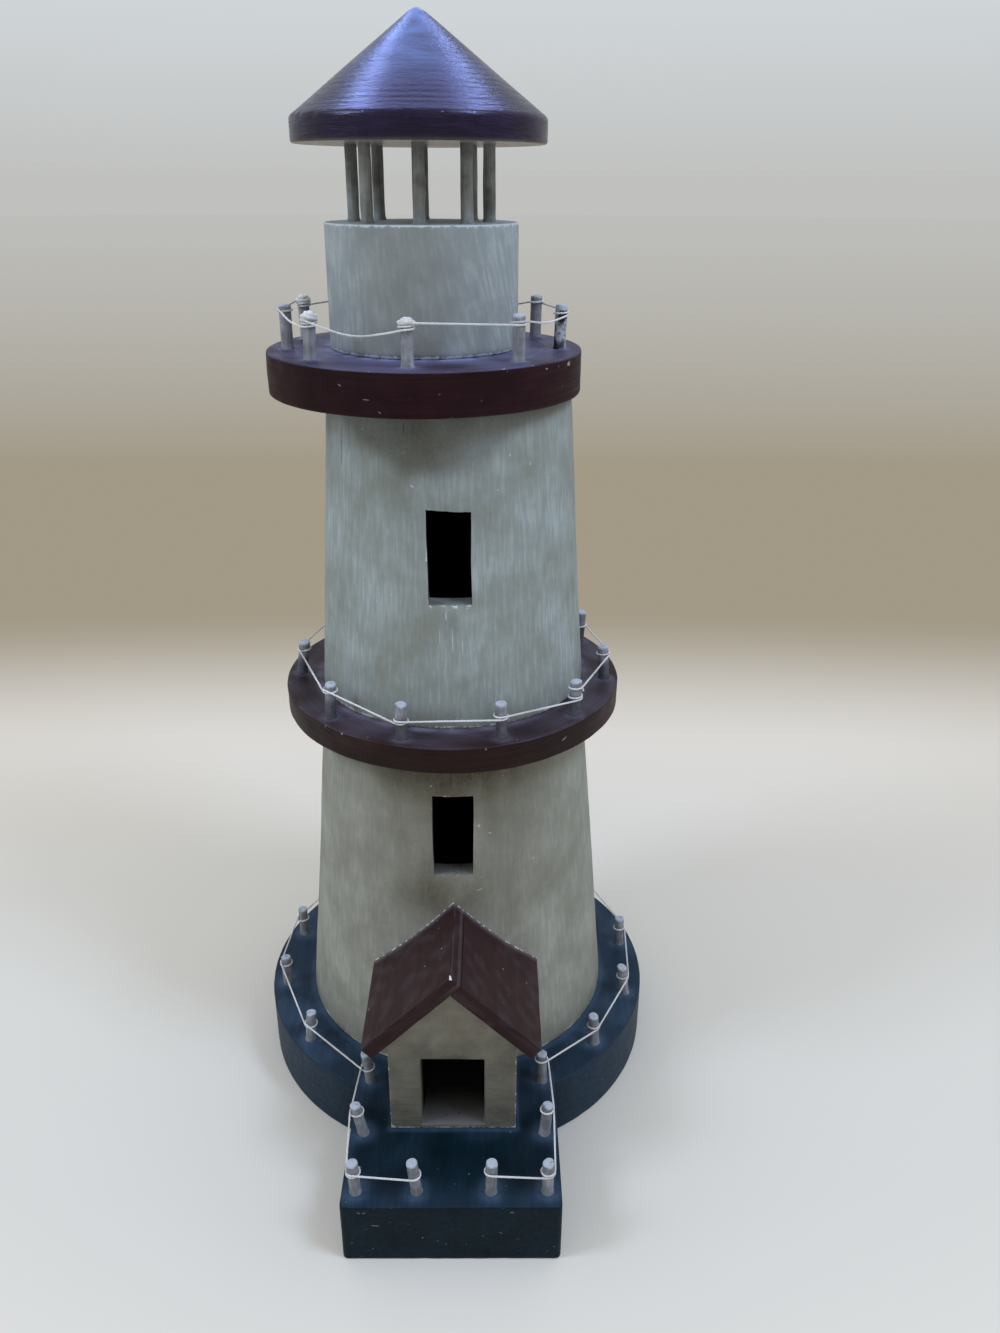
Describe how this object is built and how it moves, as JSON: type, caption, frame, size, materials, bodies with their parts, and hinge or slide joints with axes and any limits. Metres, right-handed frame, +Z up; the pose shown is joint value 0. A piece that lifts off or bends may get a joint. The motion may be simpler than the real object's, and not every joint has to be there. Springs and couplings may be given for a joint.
{
  "type": "lighthouse ornament",
  "caption": "Painted wooden lighthouse ornament: hollow tapered tower with windows, galleries and string rails, a gabled hut on the porch and a lift-off lantern top.",
  "frame": {"origin": "on the tower's axis at the underside of the base board", "axes": "+Z up along the tower, the hut and porch at the front along -Y, +X to the right"},
  "size_m": [0.12, 0.1532, 0.29],
  "materials": {
    "navy_paint": "satin dark blue-green brush paint over wood, chipped at the edges",
    "stone_wash": "matt grey-green cream wash, brushed along the tower so that the grain shows",
    "drum_wash": "matt blue-grey wash, brushed across at a slant",
    "maroon_paint": "satin dark maroon paint over a sawn round board",
    "hut_roof_paint": "satin dark maroon paint with fine specks",
    "roof_varnish": "glossy aubergine varnish over a turned cone with fine turning rings",
    "hut_wash": "matt cream-olive wash",
    "post_paint": "pale blue-grey paint, thin and chipped, whiter on the tops",
    "rail_string": "off-white twisted cotton string, stiff with paint",
    "bare_wood": "unpainted sawn pine"
  },
  "bodies": {
    "tower": {"base_board": "navy_paint", "lower_tower": "stone_wash", "lower_gallery": "maroon_paint", "upper_tower": "stone_wash", "hut_body": "hut_wash", "hut_roof_left": "hut_roof_paint", "hut_roof_right": "hut_roof_paint", "base_rail_post_1": "post_paint", "base_rail_post_2": "post_paint", "base_rail_post_3": "post_paint", "base_rail_post_4": "post_paint", "base_rail_post_5": "post_paint", "base_rail_post_6": "post_paint", "base_rail_post_7": "post_paint", "base_rail_post_8": "post_paint", "base_rail_post_9": "post_paint", "base_rail_post_10": "post_paint", "base_rail_post_11": "post_paint", "base_rail_post_12": "post_paint", "base_rail_post_13": "post_paint", "base_rail_post_14": "post_paint", "base_rail_post_15": "post_paint", "base_rail_post_16": "post_paint", "base_rail_post_17": "post_paint", "base_rail_post_18": "post_paint", "base_rail_post_19": "post_paint", "lower_rail_post_1": "post_paint", "lower_rail_post_2": "post_paint", "lower_rail_post_3": "post_paint", "lower_rail_post_4": "post_paint", "lower_rail_post_5": "post_paint", "lower_rail_post_6": "post_paint", "lower_rail_post_7": "post_paint", "lower_rail_post_8": "post_paint", "lower_rail_post_9": "post_paint", "lower_rail_post_10": "post_paint", "base_rail_string": "rail_string", "lower_rail_string": "rail_string"},
    "lid": {"upper_gallery": "maroon_paint", "locating_plug": "bare_wood", "lantern_drum": "drum_wash", "roof_cap": "roof_varnish", "lantern_post_1": "post_paint", "lantern_post_2": "post_paint", "lantern_post_3": "post_paint", "lantern_post_4": "post_paint", "lantern_post_5": "post_paint", "lantern_post_6": "post_paint", "lantern_post_7": "post_paint", "lantern_post_8": "post_paint", "upper_rail_post_1": "post_paint", "upper_rail_post_2": "post_paint", "upper_rail_post_3": "post_paint", "upper_rail_post_4": "post_paint", "upper_rail_post_5": "post_paint", "upper_rail_post_6": "post_paint", "upper_rail_post_7": "post_paint", "upper_rail_post_8": "post_paint", "upper_rail_post_9": "post_paint", "upper_rail_string": "rail_string"}
  },
  "joints": [
    {"name": "lid_lift", "type": "slide", "parent": "tower", "child": "lid", "axis": [0, 0, 1], "range_m": [0, 0.04]}
  ]
}
